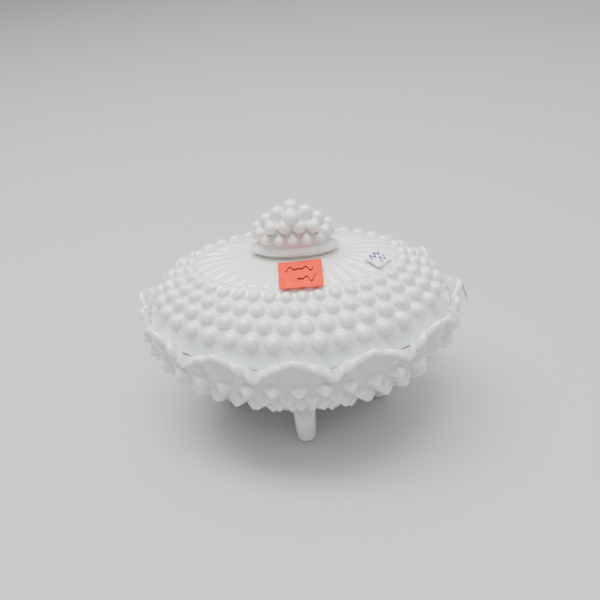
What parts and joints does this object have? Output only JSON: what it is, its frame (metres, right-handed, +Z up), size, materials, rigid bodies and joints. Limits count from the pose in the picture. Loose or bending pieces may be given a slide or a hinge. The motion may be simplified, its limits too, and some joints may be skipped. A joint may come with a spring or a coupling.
{
  "type": "covered candy dish",
  "caption": "Oval footed dish in opal pressed glass with hobnail studs, a scalloped rim and a lift-off lid with a beaded knob, for sweets or trinkets, with paper shop labels",
  "frame": {"origin": "on the table under the middle of the dish, level with the soles of its feet", "axes": "+X along the oval's long axis to the right, +Y along its short axis away from the front, +Z up"},
  "size_m": [0.1985, 0.1434, 0.1533],
  "materials": {
    "opal_glass": "glossy fire-polished opal glass",
    "orange_paper": "matt fluorescent orange label paper",
    "white_paper": "matt white label paper"
  },
  "bodies": {
    "bowl": {"bowl": "opal_glass", "rim_label": "white_paper"},
    "lid": {"lid": "opal_glass", "price_label": "orange_paper", "date_label": "white_paper"}
  },
  "joints": [
    {"name": "lid_lift", "type": "slide", "parent": "bowl", "child": "lid", "axis": [0, 0, 1], "range_m": [0, 0.13]}
  ]
}
